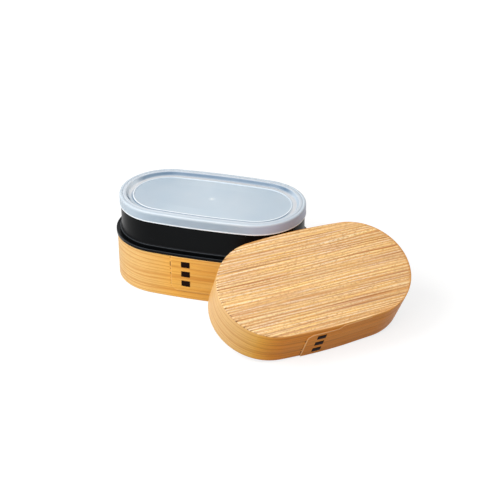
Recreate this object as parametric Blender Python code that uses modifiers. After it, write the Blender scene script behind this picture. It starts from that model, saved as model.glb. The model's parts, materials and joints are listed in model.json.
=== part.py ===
"""Bentwood lunch box: a laced wooden tier with its liner, an upper tray with its inner lid, and the
laced outer lid, taken off and leaning on the box. Metres, +Z up. The box stands at the origin with its
length along X. Outlines are given by how far they grow beyond the lower band's outer face."""

import math
from collections import namedtuple

import bmesh
import bpy
from mathutils import Matrix, Vector

# Driving dimensions of the outline
box_length = 0.180
box_width = 0.1007
side_bow = 0.0015            # how much smaller the end radius is than half the width
end_steps = 20
side_steps = 6

# Clearances
clearance = 0.0003           # between pieces that touch
liner_play = 0.0004          # liner inside the band
lid_headroom = 0.0004        # lid plate above the inner lid when closed

# Wooden lower tier
band_wall = 0.0024
lower_band_height = 0.0428
bottom_plate = 0.0040
lower_edge_round = 0.0007

# Moulded liner of the lower tier
liner_wall = 0.0014
liner_draft = 0.0012
liner_corner = 0.0040
flange_height = 0.0027
flange_rim = 0.0006          # width of the raised outer rim
channel_depth = 0.0008       # channel that the lid's edge stands in

# Moulded upper tray
tray_inset = 0.0041          # from the band's outer face to the tray wall
tray_wall = 0.0015
tray_height = 0.0350
tray_plug = 0.0018           # depth of the tray's base in the liner's mouth
tray_corner = 0.0030
foot_width = 0.0014          # ridge round the tray's base
foot_height = 0.0030

# Soft inner lid
skin = 0.0010                # thickness of its top and panel
skirt_wall = 0.0007
skirt_depth = 0.0102
lip_width = 0.0002
lip_height = 0.0009
rim_width = 0.0040           # flat to flat across the raised rim
rim_slope = 0.0012           # how far the rim's inner side leans in
panel_drop = 0.0032
panel_line_inset = 0.0125    # raised line on the panel, from the skirt's face
panel_line_width = 0.0006
panel_line_height = 0.0004
gate_radius = 0.0014

# Wooden outer lid
lid_wall = 0.0016
lid_plate = 0.0022
lid_edge_round = 0.0005
lid_yaw = math.radians(40.6)
lid_shift = 0.0056           # along its own length, from where it leans
lid_lean_gap = 0.0002        # from the tray's ridge
lid_lean_drop = 0.0004       # from the ridge's top down to where the lid's edge leans

# Lapped and laced joint of both bands
rabbet = 0.0008              # step in the band that a plate sits in
lap_proud = 0.0009
lap_run = 0.0600             # length over which the outer layer fades into the band
lap_narrow_run = 0.0300      # length of the tongue's narrowed stretch
lap_corner = 0.0070
lap_open = 0.0050            # unglued end of the tongue
lap_open_gap = 0.00025
lacing_width = 0.0080
lacing_thickness = 0.0005
lacing_proud = 0.00035
lacing_from_lap = 0.0099     # tongue's end to the lacing
lacing_from_edge = 0.0044    # the band's open edge to the first stitch
stitch_length = 0.0057
stitch_count = 3
lacing_tail = 0.0024
lower_lap_x = -0.0242        # tongue's end along the front of the box
lower_lap_narrow = 0.0070    # narrowed edge of the tongue, from the plate's side
lower_stitch_pitch = 0.0097
lid_lap_x = -0.0284
lid_lap_narrow = 0.0052
lid_stitch_pitch = 0.0102

# Places that follow from the sizes above
half_length = box_length / 2
half_width = box_width / 2
end_radius = half_width - side_bow
end_centre = half_length - end_radius
side_radius = (end_centre**2 + half_width**2 - end_radius**2) / (2 * side_bow)
side_centre = side_radius - half_width
end_angle = math.atan2(side_centre, end_centre)

flange_bottom = lower_band_height + clearance
flange_top = flange_bottom + flange_height
ledge = flange_top - channel_depth
liner_grow = -(band_wall + liner_play)
liner_mouth = liner_grow - liner_wall
liner_bottom = bottom_plate + clearance
liner_floor = liner_bottom + liner_wall

tray_grow = -tray_inset
tray_inside = tray_grow - tray_wall
foot_grow = tray_grow + foot_width
plug_grow = liner_mouth - clearance
foot_bottom = ledge + clearance
foot_top = foot_bottom + foot_height
tray_bottom = foot_bottom - tray_plug
tray_floor = tray_bottom + tray_wall
tray_top = foot_bottom + tray_height

inner_top = tray_top + clearance + skin
skirt_inside = tray_grow + clearance
skirt_grow = skirt_inside + skirt_wall
skirt_bottom = inner_top - skirt_depth
rim_inside = skirt_grow - rim_width
panel_top = inner_top - panel_drop
panel_edge = rim_inside - rim_slope

lid_inside = foot_grow + clearance
lid_grow = lid_inside + lid_wall
lid_height = inner_top + lid_headroom + lid_plate - ledge
channel_outside = lid_grow + lap_proud + clearance
flange_grow = channel_outside + flange_rim

lid_half = half_width + lid_grow
lid_tilt = math.asin((foot_top - lid_lean_drop) / (2 * lid_half + lap_proud))

# Each band as it stands on its plate, with its open edge up
Band = namedtuple("Band", "grow wall height plate edge_round lap_x narrow stitch_pitch")
lower_wood = Band(0.0, band_wall, lower_band_height, bottom_plate, lower_edge_round,
                  lower_lap_x, lower_lap_narrow, lower_stitch_pitch)
lid_wood = Band(lid_grow, lid_wall, lid_height, lid_plate, lid_edge_round,
                lid_lap_x, lid_lap_narrow, lid_stitch_pitch)

wood = (0.83, 0.47, 0.16)
wood_pale = (0.87, 0.57, 0.26)
bark = (0.018, 0.010, 0.007)
black = (0.008, 0.009, 0.010)
milky = (0.58, 0.66, 0.74)


def clear_scene():
    for item in list(bpy.data.objects):
        bpy.data.objects.remove(item, do_unlink=True)


def add_collection(name):
    group = bpy.data.collections.new(name)
    bpy.context.scene.collection.children.link(group)
    return group


def finish(name, colour, roughness):
    material = bpy.data.materials.new(name)
    material.use_nodes = True
    shader = material.node_tree.nodes["Principled BSDF"]
    shader.inputs["Base Color"].default_value = (*colour, 1.0)
    shader.inputs["Roughness"].default_value = roughness
    shader.inputs["Metallic"].default_value = 0.0
    return material


def add_object(name, bm, group, parent=None):
    bmesh.ops.recalc_face_normals(bm, faces=bm.faces)
    mesh = bpy.data.meshes.new(name)
    bm.to_mesh(mesh)
    bm.free()
    item = bpy.data.objects.new(name, mesh)
    group.objects.link(item)
    item.parent = parent
    return item


def add_piece(name, bm, parent, colour, roughness):
    item = add_object(name, bm, pieces, parent)
    item.data.materials.append(finish(name + "_finish", colour, roughness))
    return item


def add_cutter(name, bm, parent):
    item = add_object(name, bm, cutters, parent)
    item.hide_render = True
    item.display_type = "WIRE"
    return item


def add_frame(name, place, turn=(0, 0, 0), parent=None):
    empty = bpy.data.objects.new(name, None)
    empty.location = place
    empty.rotation_euler = turn
    empty.parent = parent
    pieces.objects.link(empty)
    return empty


def apply_modifiers(item):
    """Keep the result of item's modifiers as its own mesh."""
    bpy.context.view_layer.update()
    settled = item.evaluated_get(bpy.context.evaluated_depsgraph_get())
    mesh = bpy.data.meshes.new_from_object(settled)
    item.modifiers.clear()
    old = item.data
    item.data = mesh
    bpy.data.meshes.remove(old)
    mesh.name = item.name


def apply_boolean(item, cutter, operation):
    """Join, cut or trim item with cutter by one exact Boolean."""
    modifier = item.modifiers.new(operation.lower(), "BOOLEAN")
    modifier.operation = operation
    modifier.solver = "EXACT"
    modifier.object = cutter
    apply_modifiers(item)


def fillet(corners, steps=3):
    """Round each (across, up, radius) corner of a profile; a radius of 0 leaves it sharp."""
    points = []
    for index, (across, up, radius) in enumerate(corners):
        here = Vector((across, up))
        if radius == 0:
            points.append(here)
            continue
        before = (Vector(corners[index - 1][:2]) - here).normalized()
        after = (Vector(corners[(index + 1) % len(corners)][:2]) - here).normalized()
        half = before.angle(after) / 2
        reach = radius / math.tan(half)
        centre = here + (before + after).normalized() * (radius / math.sin(half))
        start = (here + before * reach - centre).normalized()
        turn = start.angle_signed(here + after * reach - centre)
        for step in range(steps + 1):
            angle = -turn * step / steps
            points.append(centre + Matrix.Rotation(angle, 2) @ start * radius)
    return points


def oval(grow):
    """The box's outline in plan, two end arcs and two bowed sides, grown outwards."""
    arcs = [
        (end_centre, 0, end_radius, -end_angle, end_angle, end_steps),
        (0, -side_centre, side_radius, end_angle, math.pi - end_angle, side_steps),
        (-end_centre, 0, end_radius, math.pi - end_angle, math.pi + end_angle, end_steps),
        (0, side_centre, side_radius, math.pi + end_angle, 2 * math.pi - end_angle, side_steps),
    ]
    points = []
    for x, y, radius, start, stop, steps in arcs:
        for step in range(steps):
            angle = start + (stop - start) * step / steps
            points.append((x + (radius + grow) * math.cos(angle), y + (radius + grow) * math.sin(angle)))
    return points


def front(x, grow):
    """Y of the outline's front side at x."""
    if abs(x) <= (side_radius + grow) * math.cos(end_angle):
        return side_centre - math.sqrt((side_radius + grow)**2 - x**2)
    return -math.sqrt((end_radius + grow)**2 - (abs(x) - end_centre)**2)


def sweep_round(profile, closed):
    """Carry a (grow, z) profile round the oval; an open one ends in two flat faces."""
    bm = bmesh.new()
    station = bm.verts.layers.int.new("station")
    stops = list(profile) + [profile[0]] if closed else list(profile)
    ring = []
    for index, (x, y) in enumerate(oval(stops[0][0])):
        vert = bm.verts.new((x, y, stops[0][1]))
        vert[station] = index
        ring.append(vert)
    edges = [bm.edges.new((ring[index - 1], ring[index])) for index in range(len(ring))]
    first = list(edges)
    for grow, z in stops[1:]:
        places = oval(grow)
        grown = bmesh.ops.extrude_edge_only(bm, edges=edges)["geom"]
        edges = [part for part in grown if isinstance(part, bmesh.types.BMEdge)]
        for vert in grown:
            if isinstance(vert, bmesh.types.BMVert):
                vert.co = (*places[vert[station]], z)
    if closed:
        bmesh.ops.remove_doubles(bm, verts=bm.verts, dist=1e-7)
    else:
        bmesh.ops.contextual_create(bm, geom=first)
        bmesh.ops.contextual_create(bm, geom=edges)
    return bm


def prism(points, depth):
    """Fill a closed outline of 3D points and extrude it by a vector."""
    bm = bmesh.new()
    face = bm.faces.new([bm.verts.new(point) for point in points])
    grown = bmesh.ops.extrude_face_region(bm, geom=[face])["geom"]
    verts = [part for part in grown if isinstance(part, bmesh.types.BMVert)]
    bmesh.ops.translate(bm, verts=verts, vec=depth)
    return bm


def flip_up(bm, height):
    """Turn a piece built with its plate edge at the floor over, for the lid."""
    for vert in bm.verts:
        vert.co.z = height - vert.co.z
    bm.normal_update()


def lap_face(band, x):
    """How far the lap's outer layer has grown at x, thinning from the tongue's end until it is flush."""
    along = (x - band.lap_x) / lap_run
    return band.grow + lap_proud * (1 - 0.97 * along**1.5)


def lap_layer(band):
    """The lap's outer layer as it lies in plan, bedded in the band behind it."""
    count = 12
    xs = [band.lap_x + lap_run * step / count for step in range(count + 1)]
    outer = [(x, front(x, lap_face(band, x)), 0) for x in xs]
    inner = [(x, front(x, band.grow - band.wall / 3), 0) for x in reversed(xs)]
    return prism(outer + inner, (0, 0, band.height))


def tongue_shape(band):
    """Side view of the lap layer: a rounded corner and a narrowed edge, then the full width."""
    beyond = 0.002
    step_down = band.lap_x + lap_narrow_run
    end = band.lap_x + lap_run + beyond
    corners = [
        (band.lap_x, band.height + beyond, 0),
        (band.lap_x, band.narrow, lap_corner),
        (step_down, band.narrow, lap_corner),
        (step_down + band.narrow + beyond, -beyond, 0),
        (end, -beyond, 0),
        (end, band.height + beyond, 0),
    ]
    near = -half_width - 4 * lap_proud
    points = [(x, near, z) for x, z in fillet(corners, 4)]
    return prism(points, (0, half_width / 3, 0))


def lap_slot(band):
    """Thin gap under the unglued end of the tongue."""
    count = 3
    beyond = 0.001
    xs = [band.lap_x - beyond + (lap_open + beyond) * step / count for step in range(count + 1)]
    outer = [(x, front(x, band.grow + lap_open_gap), -beyond) for x in xs]
    inner = [(x, front(x, band.grow - lap_open_gap / 5), -beyond) for x in reversed(xs)]
    return prism(outer + inner, (0, 0, band.height + 2 * beyond))


def lacing_strip(band, spread):
    """Middle surface of one bark ribbon woven in and out of the lap, spread for its slits."""
    middle = band.lap_x + lacing_from_lap + lacing_width / 2
    outside = -front(middle, lap_face(band, middle)) + lacing_proud - lacing_thickness / 2
    inside = -front(middle, band.grow - band.wall) + lacing_thickness
    stitch_top = band.height - lacing_from_edge
    route = [(inside, stitch_top + lacing_tail + spread)]
    for stitch in range(stitch_count):
        high = stitch_top - stitch * band.stitch_pitch - lacing_thickness / 2
        low = high - stitch_length + lacing_thickness
        route += [(inside, high), (outside, high), (outside, low), (inside, low)]
    route.append((inside, low - lacing_tail - spread))
    half = lacing_width / 2 + spread
    bm = bmesh.new()
    verts = [bm.verts.new((middle - half, -out, z)) for out, z in route]
    edges = [bm.edges.new(pair) for pair in zip(verts, verts[1:])]
    grown = bmesh.ops.extrude_edge_only(bm, edges=edges)["geom"]
    moved = [part for part in grown if isinstance(part, bmesh.types.BMVert)]
    bmesh.ops.translate(bm, verts=moved, vec=(2 * half, 0, 0))
    return bm


def thicken(item, thickness):
    """Give a ribbon its thickness, evenly to both sides."""
    modifier = item.modifiers.new("thickness", "SOLIDIFY")
    modifier.thickness = thickness
    modifier.offset = 0
    modifier.use_even_offset = True
    apply_modifiers(item)
    bm = bmesh.new()
    bm.from_mesh(item.data)
    bmesh.ops.recalc_face_normals(bm, faces=bm.faces)
    bm.to_mesh(item.data)
    bm.free()


def band_ring(band):
    """The bent strip without its lap: a ring with a rabbet for the plate at the floor."""
    inside = band.grow - band.wall
    seat = inside + rabbet
    top_round = lower_edge_round / 2
    corners = [
        (seat, 0, 0),
        (band.grow, 0, band.edge_round),
        (band.grow, band.height, top_round),
        (inside, band.height, top_round),
        (inside, band.plate + clearance, 0),
        (seat, band.plate + clearance, 0),
    ]
    return sweep_round(fillet(corners, 2), closed=True)


def plate_disc(band):
    """Plate that closes a band, seated in its rabbet."""
    grow = band.grow - band.wall + rabbet - clearance
    chamfer = band.plate / 8
    profile = [(grow - chamfer, 0), (grow, chamfer), (grow, band.plate)]
    return sweep_round(profile, closed=False)


def wooden_shell(prefix, plate_name, band, upside_down, parent, colour):
    """One bent band with its lap, the bark that laces it and the plate that closes it."""
    shapes = {
        "ring": band_ring(band),
        "layer": lap_layer(band),
        "tongue": tongue_shape(band),
        "slot": lap_slot(band),
        "lacing": lacing_strip(band, 0),
        "slits": lacing_strip(band, clearance),
        "plate": plate_disc(band),
    }
    if upside_down:
        for bm in shapes.values():
            flip_up(bm, band.height)
    ring = add_piece(prefix + "_band", shapes["ring"], parent, colour, 0.5)
    lacing = add_piece(prefix + "_bark_lacing", shapes["lacing"], parent, bark, 0.45)
    add_piece(plate_name, shapes["plate"], parent, wood_pale, 0.5)
    layer = add_cutter(prefix + "_lap_layer", shapes["layer"], parent)
    tongue = add_cutter(prefix + "_tongue_shape", shapes["tongue"], parent)
    slot = add_cutter(prefix + "_lap_slot", shapes["slot"], parent)
    slits = add_cutter(prefix + "_slits", shapes["slits"], parent)
    thicken(lacing, lacing_thickness)
    thicken(slits, lacing_thickness + 2 * clearance)
    apply_boolean(layer, tongue, "INTERSECT")
    apply_boolean(layer, slot, "DIFFERENCE")
    apply_boolean(ring, layer, "UNION")
    apply_boolean(ring, slits, "DIFFERENCE")


def liner_bowl():
    """Moulded bowl that lines the lower tier, with the rim that the lid stands in."""
    foot = liner_grow - liner_draft
    corners = [
        (foot - 2 * liner_corner, liner_bottom, 0),
        (foot, liner_bottom, liner_corner),
        (liner_grow, flange_bottom, 0),
        (flange_grow, flange_bottom, 0),
        (flange_grow, flange_top, flange_rim / 3),
        (channel_outside, flange_top, flange_rim / 4),
        (channel_outside, ledge, 0),
        (liner_mouth, ledge, channel_depth / 2),
        (foot - liner_wall, liner_floor, liner_corner - liner_wall),
        (foot - 2 * liner_corner, liner_floor, 0),
    ]
    return sweep_round(fillet(corners), closed=False)


def tray_bowl():
    """Moulded tray with the base that drops into the liner and the ridge that guides the lid."""
    corners = [
        (plug_grow - 2 * tray_corner, tray_bottom, 0),
        (plug_grow, tray_bottom, tray_plug / 2),
        (plug_grow, foot_bottom, 0),
        (foot_grow, foot_bottom, foot_width / 6),
        (foot_grow, foot_top, foot_width / 3),
        (tray_grow, foot_top, foot_width / 4),
        (tray_grow, tray_top, tray_wall / 4),
        (tray_inside, tray_top, tray_wall / 4),
        (tray_inside, tray_floor, tray_corner),
        (plug_grow - 2 * tray_corner, tray_floor, 0),
    ]
    return sweep_round(fillet(corners), closed=False)


def inner_lid_cap():
    """Soft lid that grips the tray's rim, with a sunken panel and a raised line on it."""
    leg = tray_inside - clearance
    panel_leg = panel_edge + skin
    line = skirt_grow - panel_line_inset
    line_end = line - panel_line_width
    corners = [
        (line_end - 3 * panel_line_width, panel_top - skin, 0),
        (panel_leg, panel_top - skin, skin / 2),
        (leg, inner_top - skin, 0),
        (skirt_inside, inner_top - skin, 0),
        (skirt_inside, skirt_bottom, 0),
        (skirt_grow + lip_width, skirt_bottom, lip_width / 2),
        (skirt_grow + lip_width, skirt_bottom + lip_height, 0),
        (skirt_grow, skirt_bottom + lip_height, 0),
        (skirt_grow, inner_top, skin * 1.4),
        (rim_inside, inner_top, skin * 0.9),
        (panel_edge, panel_top, skin / 2),
        (line + panel_line_width / 2, panel_top, 0),
        (line, panel_top + panel_line_height, 0),
        (line_end, panel_top + panel_line_height, 0),
        (line_end - panel_line_width / 2, panel_top, 0),
        (line_end - 3 * panel_line_width, panel_top, 0),
    ]
    return sweep_round(fillet(corners), closed=False)


def gate_button():
    """Small round mark that moulding leaves in the middle of the inner lid."""
    bm = bmesh.new()
    bmesh.ops.create_cone(bm, cap_ends=True, segments=20, radius1=gate_radius, radius2=gate_radius * 0.8, depth=skin)
    bmesh.ops.translate(bm, verts=bm.verts, vec=(0, 0, panel_top - skin / 2 + panel_line_height * 0.7))
    return bm


def lid_place():
    """Centre of the leaning lid's open edge: its back edge by the tray's ridge, its front on the floor."""
    away = Vector((math.sin(lid_yaw), -math.cos(lid_yaw), 0))
    along = Vector((math.cos(lid_yaw), math.sin(lid_yaw), 0))
    touch = Vector((end_centre, 0, 0)) + away * (end_radius + foot_grow)
    plan = touch + away * (lid_lean_gap + lid_half * math.cos(lid_tilt)) + along * lid_shift
    return plan + Vector((0, 0, (lid_half + lap_proud) * math.sin(lid_tilt)))


def add_lunch_box():
    lower = add_frame("lower_tier", (0, 0, 0))
    upper = add_frame("upper_tier", (0, 0, foot_bottom), parent=lower)
    cover = add_frame("inner_lid_seat", (0, 0, tray_top - foot_bottom), parent=upper)
    leaning = add_frame("outer_lid", lid_place(), (lid_tilt, 0, lid_yaw), parent=lower)
    wooden_shell("lower", "lower_bottom_plate", lower_wood, False, lower, wood)
    wooden_shell("lid", "lid_top_plate", lid_wood, True, leaning, wood)
    add_piece("lower_liner", liner_bowl(), lower, black, 0.4)
    tray = add_piece("upper_tray", tray_bowl(), upper, black, 0.35)
    tray.location.z = -foot_bottom
    inner = add_piece("inner_lid", inner_lid_cap(), cover, milky, 0.45)
    inner.location.z = -tray_top
    button = add_cutter("gate_button", gate_button(), cover)
    button.location.z = -tray_top
    apply_boolean(inner, button, "UNION")


clear_scene()
pieces = add_collection("bentwood_lunch_box")
cutters = add_collection("cutters")
add_lunch_box()
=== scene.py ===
"""Looks of the bentwood lunch box: bent and laced wood, satin black mouldings and a milky inner lid."""

import json
import math
from collections import namedtuple

import bmesh
import bpy
from mathutils import Matrix, Vector


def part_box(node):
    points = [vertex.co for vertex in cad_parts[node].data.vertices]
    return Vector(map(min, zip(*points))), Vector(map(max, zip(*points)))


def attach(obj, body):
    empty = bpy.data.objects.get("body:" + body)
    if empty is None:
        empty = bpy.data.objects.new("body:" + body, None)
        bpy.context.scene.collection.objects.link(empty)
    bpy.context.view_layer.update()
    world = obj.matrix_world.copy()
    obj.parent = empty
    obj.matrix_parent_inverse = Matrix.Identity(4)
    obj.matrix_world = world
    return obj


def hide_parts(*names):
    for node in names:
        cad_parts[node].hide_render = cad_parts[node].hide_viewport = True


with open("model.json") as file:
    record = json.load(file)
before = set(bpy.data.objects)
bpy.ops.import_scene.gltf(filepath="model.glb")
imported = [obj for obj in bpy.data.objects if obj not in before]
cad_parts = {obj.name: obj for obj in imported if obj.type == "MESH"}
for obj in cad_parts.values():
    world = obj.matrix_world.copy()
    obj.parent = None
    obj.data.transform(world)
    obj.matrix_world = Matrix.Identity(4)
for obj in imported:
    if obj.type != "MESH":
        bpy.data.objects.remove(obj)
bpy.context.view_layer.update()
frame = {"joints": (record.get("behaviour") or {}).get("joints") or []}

# Sizes read from the frame, in metres
band_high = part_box("lower_band")[1]
liner_low, liner_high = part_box("lower_liner")
tray_low, tray_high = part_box("upper_tray")
inner_low, inner_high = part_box("inner_lid")
lid_plate_low, lid_plate_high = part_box("lid_top_plate")
bottom_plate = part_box("lower_bottom_plate")[1].z

half_length = band_high.x
half_width = band_high.y
lower_height = band_high.z
flange_grow = liner_high.x - half_length
foot_grow = tray_high.x - half_length
lip_grow = inner_high.x - half_length
lid_up = Vector(next(j["axis"] for j in frame["joints"] if j["child"] == "outer_lid")).normalized()

# Sizes of the construction that the frame's boxes don't give
side_bow = 0.0015
clearance = 0.0003
band_wall = 0.0024
lid_wall = 0.0016
lid_plate = 0.0022
lid_lip = 0.0009
grain_depth = 0.00038
grain_pitch = 0.0026
lid_height = 0.0392
rabbet = 0.0008
lap_proud = 0.0009
lap_run = 0.0600
lap_step_run = 0.0040
lap_corner = 0.0070
lacing_width = 0.0080
lacing_from_lap = 0.0099
lacing_from_edge = 0.0044
stitch_length = 0.0057
stitch_count = 3
liner_wall = 0.0014
liner_draft = 0.0012
liner_corner = 0.0040
flange_height = 0.0027
flange_rim = 0.0006
channel_depth = 0.0008
tray_wall = 0.0015
tray_corner = 0.0030
tray_plug = 0.0018
foot_width = 0.0014
foot_height = 0.0030
skin = 0.0010
skirt_wall = 0.0007
lip_width = 0.0002
lip_height = 0.0009
rim_width = 0.0060
rim_slope = 0.0024
rim_line_inset = 0.0031
rim_line_depth = 0.0004
panel_drop = 0.0032
panel_line_inset = 0.0125
panel_line_width = 0.0009
panel_line_height = 0.0005
gate_radius = 0.0014
gate_flatness = 0.2
hair = 0.00003  # gap too small to see, which keeps one face off another
tongue_edge = 0.0005  # length over which the tongue's end is rounded off
under_flat = 0.0380  # how far the lap's layers meet at the band's outer face, before the joint slants in
strip_round = 0.0005  # rounding along a strip's edges
tongue_rounding = 0.55  # share of the tongue's thickness that is rounded off at its end
under_thinned = 0.85  # share of the wall that a strip's start loses under the lap
liner_gap = 0.0004  # between a band and the liner in it
floor_reach = 0.0300  # how far a moulding's floor is swept in before it is filled
panel_reach = 0.0120  # the same for the inner lid's panel
small_round = 0.0002  # rounding of a moulding's small edges
flange_fade = 0.0006  # depth below the flange's top where its painted edge highlight has ended
ridge_fade = 0.0011  # the same for the ridge round the tray's foot
stitch_proud = 0.00035  # how far a stitch stands out of the band
stitch_sink = 0.0003  # how far its rim turns down into the wood
run_proud = 0.0001  # how far a run inside the band stands out
run_overlap = 0.0006  # how much longer a run is than the gap between two stitches
board_edge_drop = 0.00015  # bevel round a board: how far down it goes
board_edge_out = 0.0002  # and how far out
lid_board_inset = 0.00035  # from the band's outer face to where the board's upper face ends
lid_lip_gap = 0.00002  # between the lip of the lid's board and the band's edge
lid_step_play = 0.00005  # how much less than the band's wall the board's step is
bottom_lip = 0.0006
bottom_grain_depth = 0.00005

# The outline: two end arcs joined by bowed sides, measured at the lower band's outer face
end_radius = half_width - side_bow
end_centre = half_length - end_radius
side_radius = (end_centre**2 + half_width**2 - end_radius**2) / (2 * side_bow)
side_centre = side_radius - half_width
end_angle = math.atan2(side_centre, end_centre)
half_side = side_radius * (math.pi / 2 - end_angle)
end_length = 2 * end_radius * end_angle
outline_length = 4 * half_side + 2 * end_length

# The leaning lid's own frame, with its origin in the middle of its open edge
lid_across = Vector((0, 0, 1)).cross(lid_up).cross(lid_up).normalized() * -1
lid_along = lid_across.cross(lid_up)
lid_middle = (lid_plate_low + lid_plate_high) / 2 - lid_up * (lid_height - lid_plate / 2)
lid_frame = Matrix.Translation(lid_middle) @ Matrix((lid_along, lid_across, lid_up)).transposed().to_4x4()
lid_grow = foot_grow + clearance + lid_wall - hair

# The two lapped strips: outer face, wall, height, edge cut off for a board's lip, the tongue's end and how
# far and how long it is narrowed, the line that the lacing is measured from, its pitch, and how it stands
Band = namedtuple("Band", "grow wall height trim lap_x narrow narrow_run lacing_x pitch upside_down place")
lower = Band(grow=0.0, wall=band_wall, height=lower_height, trim=0.0, lap_x=-0.0242, narrow=0.0078,
             narrow_run=0.0480, lacing_x=-0.0242, pitch=0.0097, upside_down=False, place=Matrix.Identity(4))
lid = Band(grow=lid_grow, wall=lid_wall, height=lid_height, trim=lid_lip, lap_x=-0.0266, narrow=0.0052,
           narrow_run=0.0315, lacing_x=-0.0270, pitch=0.0102, upside_down=True, place=lid_frame)


def outline_point(along):
    """Point and outward direction on the outline, going anticlockwise from the middle of the front."""
    along = along % outline_length
    if along <= half_side or along >= outline_length - half_side:
        turn = (along if along <= half_side else along - outline_length) / side_radius
        out = Vector((math.sin(turn), -math.cos(turn)))
        return Vector((0, side_centre)) + out * side_radius, out

    def on_arc(x, y, radius, turn):
        out = Vector((math.cos(turn), math.sin(turn)))
        return Vector((x, y)) + out * radius, out

    along -= half_side
    if along <= end_length:
        return on_arc(end_centre, 0, end_radius, along / end_radius - end_angle)
    along -= end_length
    if along <= 2 * half_side:
        return on_arc(0, -side_centre, side_radius, end_angle + along / side_radius)
    return on_arc(-end_centre, 0, end_radius, math.pi - end_angle + (along - 2 * half_side) / end_radius)


def grown_point(along, grow, z):
    point, out = outline_point(along)
    spot = point + out * grow
    return Vector((spot.x, spot.y, z))


def from_arc(spot):
    """A point in plan, measured from the centre of the outline's arc beside it, and the arc's radius."""
    x, y = spot.x, spot.y
    if math.atan2(abs(y) + side_centre, abs(x)) >= end_angle:
        return x, y + math.copysign(side_centre, y), side_radius
    return x - math.copysign(end_centre, x), y, end_radius


def grow_at(spot):
    """How far outside the outline a point in plan lies."""
    x, y, radius = from_arc(spot)
    return math.hypot(x, y) - radius


def outward(spot):
    """Direction straight out of the outline at a point in plan."""
    x, y, _ = from_arc(spot)
    return Vector((x, y, 0)).normalized()


def rounded(corners, steps=5):
    """Round each (across, up, radius) corner of a profile; a radius of 0 leaves it sharp."""
    points = []
    for index, (across, up, radius) in enumerate(corners):
        here = Vector((across, up))
        if radius == 0:
            points.append(here)
            continue
        before = (Vector(corners[index - 1][:2]) - here).normalized()
        after = (Vector(corners[(index + 1) % len(corners)][:2]) - here).normalized()
        half = before.angle(after) / 2
        reach = radius / math.tan(half)
        centre = here + (before + after).normalized() * (radius / math.sin(half))
        start = (here + before * reach - centre).normalized()
        turn = start.angle_signed(here + after * reach - centre)
        for step in range(steps + 1):
            points.append(centre + Matrix.Rotation(-turn * step / steps, 2) @ start * radius)
    return points


def finer(points, step):
    """Add points along a profile, so that a mark can change within one face."""
    result = [points[0]]
    for first, second in zip(points, points[1:]):
        count = max(1, math.ceil((second - first).length / step))
        result += [first.lerp(second, share / count) for share in range(1, count + 1)]
    return result


def ease(low, high, value):
    """Rise smoothly from 0 at low to 1 at high; a high below the low makes it a fall."""
    share = min(max((value - low) / (high - low), 0), 1)
    return share * share * (3 - 2 * share)


# Helpers for node trees; those not given a tree work in the one that their sockets belong to

def feed(socket, value):
    """Link a socket to another socket, or set it to a plain value."""
    if isinstance(value, bpy.types.NodeSocket):
        socket.id_data.links.new(value, socket)
    else:
        socket.default_value = value


def feed_named(node, **values):
    """Feed a node's inputs by their names, with underscores for spaces."""
    for label, value in values.items():
        feed(node.inputs[label.replace("_", " ")], value)


def add_node(tree, kind, **values):
    """Add a node; a value's name with a capital is an input, and the others are settings, given first."""
    node = tree.nodes.new(kind)
    for name, value in values.items():
        if name[0].isupper():
            feed_named(node, **{name: value})
        else:
            setattr(node, name, value)
    return node


def tree_of(*values):
    """The node tree of the first socket among some values."""
    return next(value.id_data for value in values if isinstance(value, bpy.types.NodeSocket))


def work_out(kind, *values, **settings):
    """Add a node, feed its inputs in their order and return it."""
    node = add_node(tree_of(*values), kind, **settings)
    for socket, value in zip(node.inputs, values):
        feed(socket, value)
    return node


def calculate(operation, *values, clamp=False):
    return work_out("ShaderNodeMath", *values, operation=operation, use_clamp=clamp).outputs[0]


def times(first, second):
    return calculate("MULTIPLY", first, second)


def plus(first, second):
    return calculate("ADD", first, second)


def stretch(vector, factors):
    """A vector multiplied part by part, to draw a pattern out along one direction."""
    return work_out("ShaderNodeVectorMath", vector, factors, operation="MULTIPLY").outputs[0]


def length_of(vector):
    return work_out("ShaderNodeVectorMath", vector, operation="LENGTH").outputs["Value"]


def spread(vector):
    return work_out("ShaderNodeSeparateXYZ", vector).outputs


def gather(x, y, z):
    return work_out("ShaderNodeCombineXYZ", x, y, z).outputs[0]


def noise(vector, detail=2.0, roughness=0.5, scale=1.0):
    return add_node(vector.id_data, "ShaderNodeTexNoise", Vector=vector, Scale=scale, Detail=detail,
                    Roughness=roughness).outputs[0]


def remap(value, low, high, to_low=0.0, to_high=1.0, smooth=False):
    kind = "SMOOTHSTEP" if smooth else "LINEAR"
    return add_node(value.id_data, "ShaderNodeMapRange", interpolation_type=kind, Value=value,
                    From_Min=low, From_Max=high, To_Min=to_low, To_Max=to_high).outputs[0]


def blend(share, first, second, kind="MIX"):
    """Mix two colours; a plain colour is given as (red, green, blue)."""
    node = add_node(tree_of(share, first, second), "ShaderNodeMix", data_type="RGBA", blend_type=kind,
                    Factor=share)
    sockets = [socket for socket in node.inputs if socket.type == "RGBA"]
    for socket, value in zip(sockets, (first, second)):
        feed(socket, value if isinstance(value, bpy.types.NodeSocket) else (*value, 1.0))
    return [socket for socket in node.outputs if socket.type == "RGBA"][0]


def tinted(colour, tint):
    """A colour multiplied by a tint, or by one value for all its parts."""
    if tint.type == "VALUE":
        tint = gather(tint, tint, tint)
    return blend(1.0, colour, tint, "MULTIPLY")


def marked(tree, name):
    """Value of a mark that is stored at the points of a mesh."""
    return add_node(tree, "ShaderNodeAttribute", attribute_name=name).outputs["Fac"]


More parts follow.
